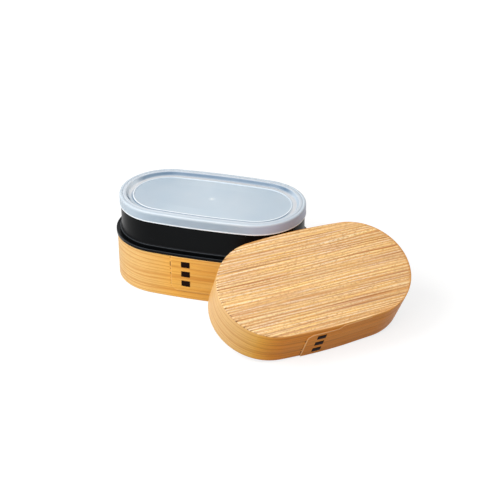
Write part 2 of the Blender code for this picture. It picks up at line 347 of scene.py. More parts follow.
def start_group(name, kind, inputs, outputs):
    """An empty node group with its sockets; returns the tree, what it is given and its output node."""
    tree = bpy.data.node_groups.new(name, kind)
    for way, sockets in (("INPUT", inputs), ("OUTPUT", outputs)):
        for label, socket in sockets.items():
            tree.interface.new_socket(label, in_out=way, socket_type="NodeSocket" + socket)
    return tree, tree.nodes.new("NodeGroupInput").outputs, tree.nodes.new("NodeGroupOutput")


# Shader groups that several finishes share

def make_wood_grain():
    """Straight grain drawn out along X: soft streaks, growth rings, fine fibres and short flecks."""
    tree, given, result = start_group(
        "wood_grain", "ShaderNodeTree",
        {"Vector": "Vector", "Ring Pitch": "Float", "Warp": "Float", "Seed": "Float"},
        {"Streak": "Float", "Ring": "Float", "Fibre": "Float", "Fleck": "Float"})
    x, y, _ = spread(given["Vector"])
    seed = given["Seed"]
    drift = noise(gather(times(x, 9.0), times(y, 30.0), seed), 1.0)
    drift = times(calculate("SUBTRACT", drift, 0.5), given["Warp"])
    y = plus(y, drift)
    spot = gather(x, y, times(seed, 0.1))
    streak = noise(stretch(spot, (7.0, 420.0, 10.0)), 3.0, 0.55)
    uneven = noise(stretch(spot, (4.0, 160.0, 10.0)), 1.0)
    ring = calculate("DIVIDE", y, given["Ring Pitch"])
    ring = calculate("FRACT", plus(ring, times(uneven, 3.0)))
    ring = times(calculate("POWER", ring, 4.2), remap(ring, 1.0, 0.9, smooth=True))
    fibre = noise(stretch(spot, (110.0, 3200.0, 10.0)), 2.0, 0.6)
    fleck = noise(stretch(spot, (560.0, 1250.0, 10.0)), 1.0)
    feed_named(result, Streak=remap(streak, 0.32, 0.68, smooth=True), Ring=ring, Fibre=fibre,
               Fleck=remap(fleck, 0.52, 0.66, smooth=True))
    return tree


def make_moulded_skin():
    """Surface of a moulding: fine even texture, slow unevenness and a few hair scratches."""
    tree, given, result = start_group(
        "moulded_skin", "ShaderNodeTree", {"Vector": "Vector", "Texture Scale": "Float"},
        {"Texture": "Float", "Unevenness": "Float", "Scratch": "Float"})
    vector = given["Vector"]
    texture = noise(vector, 1.0, 0.5, given["Texture Scale"])
    uneven = noise(vector, 2.0, 0.5, 28.0)
    lines = noise(stretch(vector, (60.0, 900.0, 700.0)), 2.0, 0.7)
    patch = noise(vector, 1.0, 0.5, 60.0)
    scratch = times(remap(lines, 0.66, 0.72, smooth=True), remap(patch, 0.5, 0.65, smooth=True))
    feed_named(result, Texture=texture, Unevenness=uneven, Scratch=scratch)
    return tree


def start_material(name, roughness):
    material = bpy.data.materials.new(name)
    material.use_nodes = True
    shader = material.node_tree.nodes["Principled BSDF"]
    shader.inputs["Roughness"].default_value = roughness
    return material, material.node_tree, shader


def dress(shader, colour, roughness, height, depth, gloss=0.5):
    """Give a finish its colour, roughness and fine relief, and the level of its reflections."""
    bump = add_node(shader.id_data, "ShaderNodeBump", Strength=1.0, Distance=depth, Height=height)
    feed_named(shader, Base_Color=colour, Roughness=roughness, Specular_IOR_Level=gloss,
               Normal=bump.outputs["Normal"])


def use_group(tree, group, **values):
    return add_node(tree, "ShaderNodeGroup", node_tree=group, **values).outputs


def make_band_wood(name, grain_group, seed, ring_share, edge_highlight_share, pale, deep, golden, blond):
    """Bent strip: warm straight-grained wood, paler at its left end where light is painted on, and with a
    painted highlight along its edges.

    The wood runs from pale to deep, and the painted light from golden to blond. UV is (along, up) in
    metres.
    """
    material, tree, shader = start_material(name, 0.5)
    place = add_node(tree, "ShaderNodeUVMap", uv_map="strip").outputs["UV"]
    grain = use_group(tree, grain_group, Vector=place, Ring_Pitch=0.0043, Warp=0.0050, Seed=seed)
    # painted light: the left end turns golden, then blond, as if lit from the left
    sapwood = marked(tree, "sapwood")
    colour = blend(grain["Streak"], pale, deep)
    colour = blend(remap(sapwood, 0.0, 0.5), colour, golden)
    colour = blend(remap(sapwood, 0.4, 1.0), colour, blond)
    colour = blend(times(grain["Ring"], ring_share), colour, (0.54, 0.185, 0.030))
    colour = tinted(colour, remap(grain["Fibre"], 0.3, 0.7, 0.90, 1.08))
    colour = blend(times(grain["Fleck"], 0.10), colour, (0.50, 0.22, 0.045))
    # painted highlight along the strip's rounded edges, strongest along the lap, broken by the fibres
    painted_edge_highlight = remap(grain["Fibre"], 0.2, 0.5, edge_highlight_share * 0.4, edge_highlight_share)
    colour = blend(times(marked(tree, "edge"), painted_edge_highlight), colour, (0.96, 0.67, 0.33))
    # painted shadow: a dark line on the under-strip just in front of the tongue's end
    painted_lap_shadow = times(marked(tree, "corner"), remap(grain["Streak"], 0.40, 0.75, 0.0, 0.85))
    colour = blend(painted_lap_shadow, colour, (0.16, 0.06, 0.015))
    relief = plus(times(grain["Ring"], -0.6), times(grain["Fibre"], 0.35))
    dress(shader, colour, remap(grain["Streak"], 0.0, 1.0, 0.36, 0.46), relief, depth=0.00012, gloss=0.08)
    return material


def make_plate_wood(name, grain_group, seed):
    """Board with raised grain: pale ridges and pinkish brown hollows. UV is (along, across) in metres."""
    material, tree, shader = start_material(name, 0.5)
    place = add_node(tree, "ShaderNodeUVMap", uv_map="board").outputs["UV"]
    grain = use_group(tree, grain_group, Vector=place, Ring_Pitch=0.0110, Warp=0.0010, Seed=seed)
    ridge = marked(tree, "ridge")
    colour = blend(remap(ridge, 0.0, 0.36), (0.49, 0.198, 0.065), (0.71, 0.383, 0.149))
    colour = blend(remap(ridge, 0.34, 0.66), colour, (0.805, 0.500, 0.220))
    colour = blend(remap(ridge, 0.64, 1.0), colour, (0.90, 0.700, 0.415))
    hue = noise(stretch(place, (22.0, 640.0, 1.0)), 2.0)
    tint = blend(remap(hue, 0.34, 0.66), (1.05, 1.0, 0.78), (0.965, 0.965, 1.18))
    colour = tinted(colour, tint)
    zone = remap(noise(stretch(place, (4.0, 85.0, 1.0)), 1.0), 0.36, 0.64, smooth=True)
    colour = tinted(colour, blend(zone, (0.90, 0.86, 0.86), (1.05, 1.07, 1.05)))
    length_tint = blend(remap(spread(place)[0], -half_length, half_length),
                        (1.07, 1.12, 1.14), (1.01, 0.98, 0.92))
    colour = tinted(colour, length_tint)
    line = remap(noise(stretch(place, (5.0, 360.0, 1.0)), 1.0), 0.33, 0.25, smooth=True)
    colour = blend(times(line, 0.75), colour, (0.40, 0.165, 0.060))
    colour = tinted(colour, remap(grain["Fibre"], 0.28, 0.72, 0.88, 1.10))
    speck = times(grain["Fleck"], remap(grain["Streak"], 0.2, 0.9, 0.35, 0.80))
    colour = blend(speck, colour, (0.57, 0.285, 0.103))
    # painted shade in the hollows where they meet the rim at the left end
    painted_notch_shade = times(marked(tree, "rim"), remap(ridge, 0.55, 0.25, smooth=True))
    colour = blend(times(painted_notch_shade, 0.8), colour, (0.12, 0.05, 0.018))
    # deeper brown edge and painted shade along the top's rim, left off at the lit left end
    colour = blend(marked(tree, "side"), colour, (0.70, 0.290, 0.050))
    relief = plus(times(grain["Fibre"], 0.8), times(grain["Fleck"], -0.8))
    dress(shader, colour, remap(ridge, 0.0, 1.0, 0.62, 0.45), relief, depth=0.00025, gloss=0.4)
    return material


def make_bark(name, grain_group):
    """Dark polished bark with its fine cross lines. UV is (along, up) in metres."""
    material, tree, shader = start_material(name, 0.4)
    place = add_node(tree, "ShaderNodeUVMap", uv_map="strip").outputs["UV"]
    grain = use_group(tree, grain_group, Vector=place, Ring_Pitch=0.0011, Warp=0.0004, Seed=3.0)
    colour = blend(grain["Streak"], (0.005, 0.0024, 0.0017), (0.017, 0.0072, 0.0048))
    colour = blend(times(grain["Ring"], 0.5), colour, (0.030, 0.013, 0.008))
    relief = plus(grain["Ring"], grain["Fibre"])
    dress(shader, colour, remap(grain["Fibre"], 0.3, 0.7, 0.34, 0.5), relief, depth=0.00006, gloss=0.02)
    return material


def make_black_plastic(name, skin_group):
    """Satin black moulding, greyer along its edges, where a highlight is painted."""
    material, tree, shader = start_material(name, 0.35)
    place = add_node(tree, "ShaderNodeTexCoord").outputs["Object"]
    surface = use_group(tree, skin_group, Vector=place, Texture_Scale=2600.0)
    colour = blend(surface["Unevenness"], (0.0016, 0.0020, 0.0024), (0.0026, 0.0032, 0.0038))
    colour = blend(times(surface["Scratch"], 0.25), colour, (0.020, 0.021, 0.023))
    # painted highlight along the top edges of the flange and the foot's ridge
    painted_rim_highlight = times(marked(tree, "edge"), remap(surface["Unevenness"], 0.3, 0.7, 0.6, 1.0))
    colour = blend(painted_rim_highlight, colour, (0.040, 0.046, 0.054))
    roughness = remap(surface["Unevenness"], 0.3, 0.7, 0.26, 0.33)
    dress(shader, colour, roughness, surface["Texture"], depth=0.00002, gloss=0.08)
    return material


def make_milky_plastic(name, skin_group):
    """Soft milky moulding, its tones set by the marks on its points, painted light and painted shade among
    them.
    """
    material, tree, shader = start_material(name, 0.4)
    place = add_node(tree, "ShaderNodeTexCoord").outputs["Object"]
    surface = use_group(tree, skin_group, Vector=place, Texture_Scale=1900.0)
    colour = blend(remap(surface["Unevenness"], 0.3, 0.7), (0.48, 0.575, 0.660), (0.535, 0.61, 0.68))
    # painted cool light on the right end of the skirt
    colour = blend(marked(tree, "cool"), colour, (0.50, 0.62, 0.86))
    colour = blend(marked(tree, "thick"), colour, (0.565, 0.615, 0.670))
    # painted light, warmer and paler, on the panel outside its line, apart from the front
    colour = blend(times(marked(tree, "warm"), 0.8), colour, (0.66, 0.655, 0.665))
    # painted shade, and blue where the black tray shows through the milky plastic
    colour = blend(marked(tree, "backed"), colour, (0.085, 0.158, 0.250))
    # painted highlights on the raised line, the lip, the gate mark and the slope's left end
    colour = blend(marked(tree, "bright"), colour, (0.78, 0.83, 0.875))
    middle = length_of(stretch(place, (1.0, 1.0, 0.0)))
    # painted highlight on the gate mark in the middle
    gate = remap(middle, gate_radius * 3.2, gate_radius * 0.4, 0.0, 0.45, smooth=True)
    colour = blend(gate, colour, (0.78, 0.83, 0.875))
    colour = blend(times(surface["Scratch"], 0.25), colour, (0.80, 0.84, 0.88))
    roughness = remap(surface["Unevenness"], 0.3, 0.7, 0.34, 0.46)
    dress(shader, colour, roughness, surface["Texture"], depth=0.000015)
    feed_named(shader, Subsurface_Weight=0.25, Subsurface_Radius=(0.9, 1.0, 1.1), Subsurface_Scale=0.0025)
    return material


# Meshes

def add_object(name, mesh):
    item = bpy.data.objects.new(name, mesh)
    bpy.context.scene.collection.objects.link(item)
    return item


def mesh_from(bm, name):
    bmesh.ops.recalc_face_normals(bm, faces=bm.faces)
    mesh = bpy.data.meshes.new(name)
    bm.to_mesh(mesh)
    bm.free()
    return mesh


def soften(mesh, angle=40):
    mesh.shade_smooth()
    mesh.set_sharp_from_angle(angle=math.radians(angle))


def mark(mesh, name, rule):
    """Store a value at every point of a mesh, given by a rule of its place."""
    values = mesh.attributes.new(name, "FLOAT", "POINT")
    values.data.foreach_set("value", [rule(vert.co) for vert in mesh.vertices])


def fill_grid(bm, grid):
    """Fill rows of points with four-sided faces."""
    for low, high in zip(grid, grid[1:]):
        for i in range(len(low) - 1):
            bm.faces.new((low[i], low[i + 1], high[i + 1], high[i]))


def open_edges(bm):
    return [edge for edge in bm.edges if edge.is_boundary]


def draw_out(bm, edges):
    """Extrude a rim of edges; returns its new points and its new edges."""
    grown = bmesh.ops.extrude_edge_only(bm, edges=edges)["geom"]
    points = [part for part in grown if isinstance(part, bmesh.types.BMVert)]
    return points, [part for part in grown if isinstance(part, bmesh.types.BMEdge)]


def map_faces(bm, name, rule):
    """Lay the faces out in a UV map, by a rule of each point's place."""
    uv = bm.loops.layers.uv.new(name)
    for face in bm.faces:
        for loop in face.loops:
            loop[uv].uv = rule(loop.vert.co)


def settle(item):
    """Turn an object with a node modifier into a plain mesh object of the same name."""
    bpy.context.view_layer.update()
    done = item.evaluated_get(bpy.context.evaluated_depsgraph_get())
    mesh = bpy.data.meshes.new_from_object(done)
    name = item.name
    bpy.data.objects.remove(item)
    mesh.name = name
    return add_object(name, mesh)


def add_tree(item, tree, **values):
    """Put a node tree on an object and set its inputs by their identifiers."""
    modifier = item.modifiers.new("shape", "NODES")
    modifier.node_group = tree
    for socket in tree.interface.items_tree:
        key = socket.name.replace(" ", "_")
        if socket.in_out == "INPUT" and key in values:
            modifier[socket.identifier] = values[key]


def end_tree(given, result, geometry):
    """Close a node tree: what it made becomes one real mesh with its finish."""
    tree = result.id_data
    whole = add_node(tree, "GeometryNodeRealizeInstances", Geometry=geometry)
    finish = add_node(tree, "GeometryNodeSetMaterial", Geometry=whole.outputs["Geometry"],
                      Material=given["Finish"])
    feed(result.inputs[0], finish.outputs["Geometry"])
    return tree


def make_moulding_tree():
    """Carry a profile curve round a path curve, as a mould's wall follows its outline."""
    tree, given, result = start_group(
        "moulding", "GeometryNodeTree",
        {"Path": "Geometry", "Profile": "Object", "Finish": "Material"}, {"Wall": "Geometry"})
    upright = add_node(tree, "GeometryNodeSetCurveNormal", mode="Z_UP", Curve=given["Path"])
    profile = add_node(tree, "GeometryNodeObjectInfo", Object=given["Profile"])
    swept = add_node(tree, "GeometryNodeCurveToMesh", Curve=upright.outputs["Curve"],
                     Profile_Curve=profile.outputs["Geometry"])
    return end_tree(given, result, swept.outputs["Mesh"])


def make_raised_grain_tree():
    """Lift the grain of a board: hard rings stand as ridges, soft wood between them is brushed away."""
    tree, given, result = start_group(
        "raised_grain", "GeometryNodeTree",
        {"Board": "Geometry", "Depth": "Float", "Pitch": "Float", "Seed": "Float", "Finish": "Material"},
        {"Board": "Geometry"})
    x, y, _ = spread(add_node(tree, "GeometryNodeInputPosition").outputs[0])
    seed = given["Seed"]
    drift = noise(gather(times(x, 8.0), times(y, 12.0), seed), 1.0)
    y = plus(y, times(drift, 0.004))
    spot = gather(x, y, times(seed, 0.1))
    spacing = noise(stretch(spot, (6.0, 110.0, 10.0)), 1.0)
    phase = plus(calculate("DIVIDE", y, given["Pitch"]), times(spacing, 2.3))
    wave = calculate("SINE", times(phase, 2 * math.pi))
    strength = noise(stretch(spot, (11.0, 210.0, 10.0)), 1.0)
    strength = remap(strength, 0.34, 0.60, 0.14, 0.46)
    groove = noise(stretch(spot, (9.0, 520.0, 20.0)), 1.5, 0.6)
    ridge = plus(times(wave, strength), 0.64)
    groove = remap(groove, 0.42, 0.30, 0.0, 0.60, smooth=True)
    ridge = calculate("SUBTRACT", ridge, groove, clamp=True)
    top = add_node(tree, "GeometryNodeInputNamedAttribute", data_type="FLOAT", Name="top")
    sunk = times(calculate("SUBTRACT", ridge, 1.0), given["Depth"])
    sunk = times(sunk, top.outputs["Attribute"])
    kept = add_node(tree, "GeometryNodeStoreNamedAttribute", data_type="FLOAT", domain="POINT",
                    Geometry=given["Board"], Name="ridge", Value=ridge)
    lifted = add_node(tree, "GeometryNodeSetPosition", Geometry=kept.outputs["Geometry"],
                      Offset=gather(0.0, 0.0, sunk))
    return end_tree(given, result, lifted.outputs["Geometry"])


def make_stitch_tree():
    """Repeat one stitch in a straight row."""
    tree, given, result = start_group(
        "stitch_row", "GeometryNodeTree",
        {"Stitch": "Geometry", "Count": "Int", "Step": "Vector", "Finish": "Material"},
        {"Row": "Geometry"})
    line = add_node(tree, "GeometryNodeMeshLine", mode="OFFSET", Count=given["Count"],
                    Offset=given["Step"])
    placed = add_node(tree, "GeometryNodeInstanceOnPoints", Points=line.outputs["Mesh"],
                      Instance=given["Stitch"])
    return end_tree(given, result, placed.outputs["Instances"])


def add_curve(name, points, cyclic):
    data = bpy.data.curves.new(name, "CURVE")
    data.dimensions = "3D"
    spline = data.splines.new("POLY")
    spline.points.add(len(points) - 1)
    for point, place in zip(spline.points, points):
        point.co = (*place, 1.0)
    spline.use_cyclic_u = cyclic
    return add_object(name, data)


def moulded(name, profile, tree, material):
    """A moulded wall swept round the outline, its two open ends closed by flat faces."""
    count = 260
    path = add_curve(name, [grown_point(outline_length * i / count, 0, 0) for i in range(count)], True)
    section = add_curve(name + "_profile", [(grow, -z, 0) for grow, z in profile], False)
    add_tree(path, tree, Profile=section, Finish=material)
    item = settle(path)
    bpy.data.objects.remove(section)
    bm = bmesh.new()
    bm.from_mesh(item.data)
    bmesh.ops.holes_fill(bm, edges=bm.edges)
    bmesh.ops.recalc_face_normals(bm, faces=bm.faces)
    bm.to_mesh(item.data)
    bm.free()
    soften(item.data)
    return item


def lap_fade(along):
    """Share of the lap's thickness that still stands proud at a distance from the tongue's end."""
    return 1 - min(along / lap_run, 1)**1.5


def stand_up(bm, name, band, material, angle):
    """Finish a piece of a wooden tier: turned over for the lid, and put in its place."""
    if band.upside_down:
        for vert in bm.verts:
            vert.co.z = band.height - vert.co.z
        bm.normal_update()
    mesh = mesh_from(bm, name)
    mesh.transform(band.place)
    mesh.materials.append(material)
    soften(mesh, angle)
    return add_object(name, mesh)


def strip_columns():
    """Distances from the tongue's end at which a strip gets a section, close together where it bends."""
    corner_steps = 14
    lap_step, fine_step, coarse_step = 0.0011, 0.0004, 0.0021
    near_tongue = 0.004
    columns = [hair, 0.00008, 0.00016, 0.0003, tongue_edge]
    columns += [tongue_edge + lap_corner * (i / corner_steps)**1.4 for i in range(1, corner_steps + 1)]
    along = columns[-1]
    while along < lap_run:
        along += lap_step
        columns.append(along)
    while along < outline_length + lap_run:
        along += fine_step if abs(along - outline_length) < near_tongue else coarse_step
        columns.append(along)
    return columns


def strip_section(band, along):
    """Outer face, inner face and lowest edge of a strip at a distance from the tongue's end."""
    under = along - outline_length
    if under > 0:
        outer = band.grow - hair - band.wall * under_thinned * ease(under_flat, lap_run, under)
        return outer, band.grow - band.wall, band.trim
    inner = band.grow + hair - (band.wall + hair) * ease(under_flat, lap_run, along)
    outer = band.grow + lap_proud * lap_fade(along)
    if along < tongue_edge:
        outer -= (outer - inner) * tongue_rounding * (1 - math.sqrt(1 - (1 - along / tongue_edge)**2))
    lowest = band.narrow
    if along < lap_corner:
        lowest += lap_corner - math.sqrt(lap_corner**2 - (lap_corner - along)**2)
    lowest *= 1 - ease(band.narrow_run - lap_step_run, band.narrow_run + lap_step_run, along)
    return outer, inner, max(lowest, band.trim)


def bent_strip(name, band, sapwood_rule, material):
    """One strip of wood bent round the outline, its outer end lapped over its start."""
    start = side_radius * math.asin(band.lap_x / side_radius)
    corner_points = 4
    face_steps = 9
    shares = [0.02] + [share / face_steps for share in range(1, face_steps)] + [0.98]
    corner_top = band.narrow + lap_corner
    bm = bmesh.new()
    edge = bm.verts.layers.float.new("edge")
    sapwood = bm.verts.layers.float.new("sapwood")
    corner = bm.verts.layers.float.new("corner")
    uv = bm.loops.layers.uv.new("strip")
    rows = []
    for along in strip_columns():
        outer, inner, lowest = strip_section(band, along)
        radius = min(strip_round, (outer - inner) * 0.42)
        ring = rounded([(outer, lowest, radius), (outer, band.height, radius),
                        (inner, band.height, radius), (inner, lowest, radius)], corner_points - 1)
        low, high = ring[corner_points - 1:corner_points + 1]
        ring[corner_points:corner_points] = [low.lerp(high, share) for share in shares]
        row = [(bm.verts.new(grown_point(start + along, g, z)), along, z) for g, z in ring]
        # painted light, strongest at the lit left end
        paleness = sapwood_rule(*outline_point(start + along))
        # beside: where the painted shadow lies, just in front of the tongue's end
        beside = ease(-0.0015, -0.0007, along - outline_length) * (along < outline_length + 0.001)
        for index, (vert, _, z) in enumerate(row):
            on_face = corner_points <= index < corner_points + len(shares) and along > tongue_edge
            # the edge mark carries the painted edge highlight: full along the lap, a quarter elsewhere
            vert[edge] = 0.0 if on_face else 1.0 if along < lap_run else 0.25
            vert[corner] = beside * ease(corner_top - 0.002, corner_top + 0.001, z)
            vert[sapwood] = paleness
        rows.append(row)

    def add_face(spots):
        face = bm.faces.new([vert for vert, _, _ in spots])
        for loop, (_, along, z) in zip(face.loops, spots):
            loop[uv].uv = (along, z)

    for first, second in zip(rows, rows[1:]):
        for index in range(len(first)):
            add_face([first[index - 1], first[index], second[index], second[index - 1]])
    add_face(rows[0])
    add_face(rows[-1])
    return stand_up(bm, name, band, material, 50)


def board(name, grow, thickness, lip, inset, depth, seed, tree, material, place):
    """A board cut to the outline, its upper face fine enough to carry raised grain.

    A lip of the board's upper face covers the band's edge; below it the board is let in by the inset.
    """
    fine = 0.00028
    columns = 72
    end_rows = 16
    narrowest = 0.0015
    reach = half_width + grow
    bowed = side_bow * 1.4
    levels = []
    y = 0.0
    while y < reach - bowed:
        levels.append(y)
        y += fine
    levels += [reach - bowed * (1 - share / end_rows)**2 for share in range(end_rows)]
    levels = [-level for level in reversed(levels[1:])] + levels

    def half_row(y):
        """Half the board's length at a distance y from its middle line."""
        side = math.sqrt(max((side_radius + grow)**2 - (abs(y) + side_centre)**2, 0))
        if side <= (side_radius + grow) * math.cos(end_angle):
            return max(side, narrowest)
        return end_centre + math.sqrt(max((end_radius + grow)**2 - y * y, 0))

    bm = bmesh.new()
    grid = []
    for y in levels:
        half = half_row(y)
        xs = [half * (2 * i / columns - 1) for i in range(columns + 1)]
        grid.append([bm.verts.new((x, y, thickness)) for x in xs])
    fill_grid(bm, grid)
    edges = open_edges(bm)
    for drop, inwards in ((board_edge_drop, -board_edge_out), (lip, 0.0), (lip, inset), (thickness, 0.0)):
        points, edges = draw_out(bm, edges)
        for point in points:
            point.co.z = thickness - drop
            point.co -= outward(point.co) * inwards
    bmesh.ops.contextual_create(bm, geom=edges)
    map_faces(bm, "board", lambda co: (co.x, co.y + (thickness - co.z)))
    mesh = mesh_from(bm, name)

    def top(co):
        """1 on the upper face; it fades at the rim, so that raised grain leaves the outline even."""
        fade = ease(grow + 0.0002, grow - 0.0012, grow_at(co))
        return fade if co.z > thickness - 0.0003 else 0.0

    def side(co):
        """1 on the edge, apart from its lit left end, and a little less just inside it: a deeper brown edge
        and painted shade on the top's rim.
        """
        endwards = outward(co).x
        reach = ease(-0.75, -0.1, endwards)
        if co.z < thickness - 0.0001:
            return reach
        near = ease(grow - 0.0006, grow - 0.0002, grow_at(co))
        return reach * 0.85 * near * ease(0.9, 0.5, -endwards)

    def rim(co):
        """1 along the rim at the left end, where the hollows of the grain run out as notches and shade is
        painted into them.
        """
        near = ease(grow - 0.0016, grow - 0.0006, grow_at(co))
        return near * ease(0.15, 0.45, -outward(co).x)

    for rule in (top, side, rim):
        mark(mesh, rule.__name__, rule)
    item = add_object(name, mesh)
    add_tree(item, tree, Depth=depth, Pitch=grain_pitch, Seed=seed, Finish=material)
    item = settle(item)
    item.data.transform(place)
    soften(item.data, 55)
    return item


def stitch_mesh(name, length, proud):
    """One flat bark stitch, its rim turning down into the wood."""
    across, up = 10, 16
    half_share = 0.52
    bm = bmesh.new()
    grid = []
    for j in range(up + 1):
        v = math.sin(math.pi * (j / up - 0.5))
        row = []
        for i in range(across + 1):
            u = math.sin(math.pi * (i / across - 0.5))
            crown = proud * (1 - 0.25 * u * u) * (1 - 0.6 * abs(v)**4)
            turned = stitch_sink * max(abs(u)**60, abs(v)**40)
            place = (u * lacing_width * half_share, turned - crown, v * length * half_share)
            row.append(bm.verts.new(place))
        grid.append(row)
    fill_grid(bm, grid)
    points, edges = draw_out(bm, open_edges(bm))
    for point in points:
        point.co.y = stitch_sink * 2
    bmesh.ops.contextual_create(bm, geom=edges)
    map_faces(bm, "strip", lambda co: (co.x, co.z))
    return mesh_from(bm, name)


def laced(name, band, tree, material):
    """The bark that shows of a lacing: stitches outside and short runs inside the band."""
    middle = lacing_from_lap + lacing_width / 2
    point, out = outline_point(side_radius * math.asin((band.lacing_x + middle) / side_radius))
    first = band.height - lacing_from_edge - stitch_length / 2
    rows = [
        (stitch_length, stitch_proud, band.grow + lap_proud * lap_fade(middle), 0.0, first, stitch_count),
        (band.pitch - stitch_length + run_overlap, run_proud, band.grow - band.wall, math.pi,
         first + band.pitch / 2, stitch_count + 1),
    ]
    bm = bmesh.new()
    for length, proud, face, turned, start, count in rows:
        item = add_object(name, stitch_mesh(name, length, proud))
        add_tree(item, tree, Count=count, Step=(0, 0, -band.pitch), Finish=material)
        item = settle(item)
        spot = point + out * face
        turn = Matrix.Rotation(math.atan2(out.x, -out.y) + turned, 4, "Z")
        item.data.transform(Matrix.Translation((spot.x, spot.y, start)) @ turn)
        bm.from_mesh(item.data)
        bpy.data.objects.remove(item)
    return stand_up(bm, name, band, material, 60)


# Profiles of the moulded pieces, as (grow, z) corners with their radii

def liner_profile():
    bottom, flange_top = liner_low.z, liner_high.z
    flange_bottom = flange_top - flange_height
    ledge = flange_top - channel_depth
    outside = -(band_wall + liner_gap)
    foot = outside - liner_draft
    channel = flange_grow - flange_rim
    return rounded([
        (foot - floor_reach, bottom, 0),
        (foot, bottom, liner_corner),
        (outside, flange_bottom, 0.0004),
        (flange_grow, flange_bottom, small_round),
        (flange_grow, flange_top - flange_fade, 0),
        (flange_grow, flange_top, 0.00026),
        (channel, flange_top, small_round),
        (channel, ledge, small_round),
        (outside - liner_wall, ledge, 0.0004),
        (foot - liner_wall, bottom + liner_wall, liner_corner - liner_wall),
        (foot - floor_reach, bottom + liner_wall, 0),
    ])


def tray_profile():
    bottom, top = tray_low.z, tray_high.z
    wall = foot_grow - foot_width
    inside = wall - tray_wall
    foot_bottom = bottom + tray_plug
    foot_top = foot_bottom + foot_height
    plug = -(band_wall + liner_gap + liner_wall + clearance)
    floor = bottom + tray_wall
    return rounded([
        (plug - floor_reach, bottom, 0),
        (plug, bottom, tray_plug / 2),
        (plug, foot_bottom, 0),
        (foot_grow, foot_bottom, small_round),
        (foot_grow, foot_top - ridge_fade, 0),
        (foot_grow, foot_top, 0.00070),
        (wall, foot_top, 0.00045),
        (wall, top, tray_wall / 4),
        (inside, top, tray_wall / 4),
        (inside, floor, tray_corner),
        (plug - floor_reach, floor, 0),
    ])


def inner_lid_profile():
    bottom, top = inner_low.z, inner_high.z
    skirt = lip_grow - lip_width
    inside = skirt - skirt_wall
    leg = inside - clearance - tray_wall - clearance
    rim_inside = skirt - rim_width
    panel = top - panel_drop
    panel_edge = rim_inside - rim_slope
    rim_line = skirt - rim_line_inset
    line = skirt - panel_line_inset
    line_end = line - panel_line_width
    return finer(rounded([
        (line_end - panel_reach, panel - skin, 0),
        (panel_edge + skin, panel - skin, skin / 2),
        (leg, top - skin, small_round),
        (inside, top - skin, small_round),
        (inside, bottom, 0.00015),
        (lip_grow, bottom, 0.00025),
        (lip_grow, bottom + lip_height, 0.0001),
        (skirt, bottom + lip_height, 0.0001),
        (skirt, top, skin * 1.5),
        (rim_line + 0.0009, top, 0.0004),
        (rim_line, top - rim_line_depth, 0.0003),
        (rim_line - 0.0009, top, 0.0004),
        (rim_inside, top, skin * 0.9),
        (panel_edge, panel, skin * 0.6),
        (line + panel_line_width / 2, panel, 0.0003),
        (line, panel + panel_line_height, small_round),
        (line_end, panel + panel_line_height, small_round),
        (line_end - panel_line_width / 2, panel, 0.0003),
        (line_end - panel_reach, panel, 0),
    ]), 0.0008)


